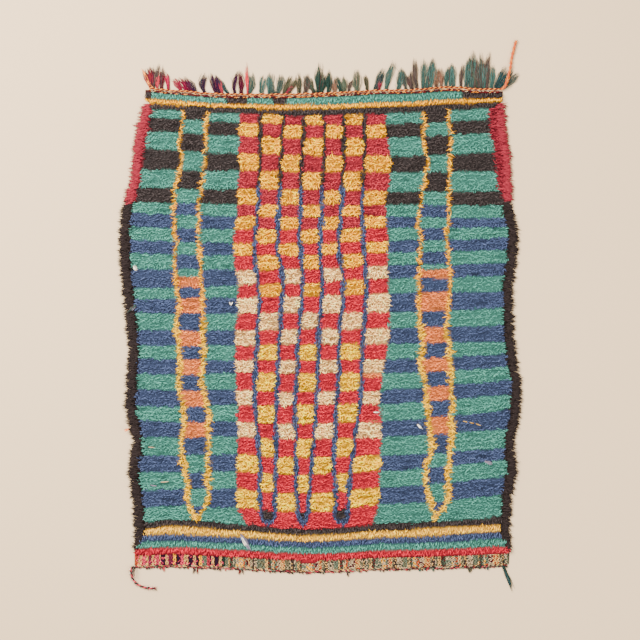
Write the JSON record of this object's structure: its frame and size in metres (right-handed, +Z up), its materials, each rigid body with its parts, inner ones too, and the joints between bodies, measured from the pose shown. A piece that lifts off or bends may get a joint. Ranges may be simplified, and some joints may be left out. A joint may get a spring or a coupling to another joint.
{
  "type": "boucherouite rug",
  "caption": "Knotted wool pile rug with banded field, checkered centre panel, side locks, a fringed end and a flat-woven end, lying flat.",
  "frame": {"origin": "on the floor, under the middle of the rug and its fringe, side locks and tufts, without the two loose cord ends", "axes": "+Y along the rug towards its long fringe, +X to the right as seen from above, +Z up"},
  "size_m": [1.214, 1.6501, 0.0158],
  "materials": {
    "pile": "matte wool pile",
    "side_locks": "matte wool",
    "fringe": "matte wool",
    "twined_cord": "matte twisted yarn",
    "edging": "matte twisted yarn"
  },
  "bodies": {
    "root": {"rug_body": "pile", "left_edge": "side_locks", "right_edge": "side_locks", "top_cord": "twined_cord", "top_fringe": "fringe", "bottom_edging": "edging", "tail_top": "twined_cord", "tail_bottom": "edging"}
  },
  "joints": []
}
